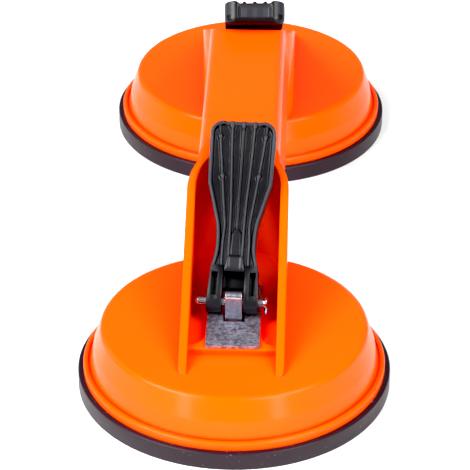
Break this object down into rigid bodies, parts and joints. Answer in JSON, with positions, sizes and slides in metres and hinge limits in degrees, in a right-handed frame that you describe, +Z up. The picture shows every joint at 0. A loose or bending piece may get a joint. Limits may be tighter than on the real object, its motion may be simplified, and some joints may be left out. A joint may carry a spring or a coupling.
{
  "type": "floor tile suction lifter",
  "caption": "Two-cup suction lifter: an orange moulded body with a carrying handle, rubber pads, and a cam lever at each end that draws the pad up to grip.",
  "frame": {"origin": "on the floor, half way between the two pads' axes", "axes": "+Z up, +Y along the handle from the front pad to the rear pad, +X to the right seen from the front"},
  "size_m": [0.118, 0.326, 0.0829],
  "materials": {
    "orange_shell": "satin gloss moulded plastic",
    "black_lever": "satin black moulded plastic",
    "rubber": "matt black rubber",
    "zinc_plate": "zinc-plated steel with a mottled spangle",
    "steel": "bright zinc-plated steel"
  },
  "bodies": {
    "body": {"body_shell": "orange_shell", "front_rubber_pad": "rubber", "rear_rubber_pad": "rubber", "front_wear_plate": "zinc_plate", "rear_wear_plate": "zinc_plate"},
    "front_stud": {"front_stud": "steel", "front_backing_disc": "steel", "front_split_pin": "steel"},
    "front_lever": {"front_lever": "black_lever"},
    "rear_stud": {"rear_stud": "steel", "rear_backing_disc": "steel", "rear_split_pin": "steel"},
    "rear_lever": {"rear_lever": "black_lever"}
  },
  "joints": [
    {"name": "front_stud_slide", "type": "slide", "parent": "body", "child": "front_stud", "axis": [0, 0, -1], "range_m": [0, 0.002], "deforming": ["front_rubber_pad"]},
    {"name": "front_lever_hinge", "type": "hinge", "parent": "front_stud", "child": "front_lever", "pos_m": [0, -0.104, 0.0345], "axis": [0.9988, -0.048, 0], "range_deg": [0, 105]},
    {"name": "rear_stud_slide", "type": "slide", "parent": "body", "child": "rear_stud", "axis": [0, 0, -1], "range_m": [0, 0.002], "deforming": ["rear_rubber_pad"]},
    {"name": "rear_lever_hinge", "type": "hinge", "parent": "rear_stud", "child": "rear_lever", "pos_m": [0, 0.104, 0.0345], "axis": [-0.9989, -0.0471, 0], "range_deg": [0, 105]}
  ],
  "couplings": [
    {"joint": "front_lever_hinge", "follows": "front_stud_slide", "rad_per_m": 916.29},
    {"joint": "rear_lever_hinge", "follows": "rear_stud_slide", "rad_per_m": 916.29}
  ]
}
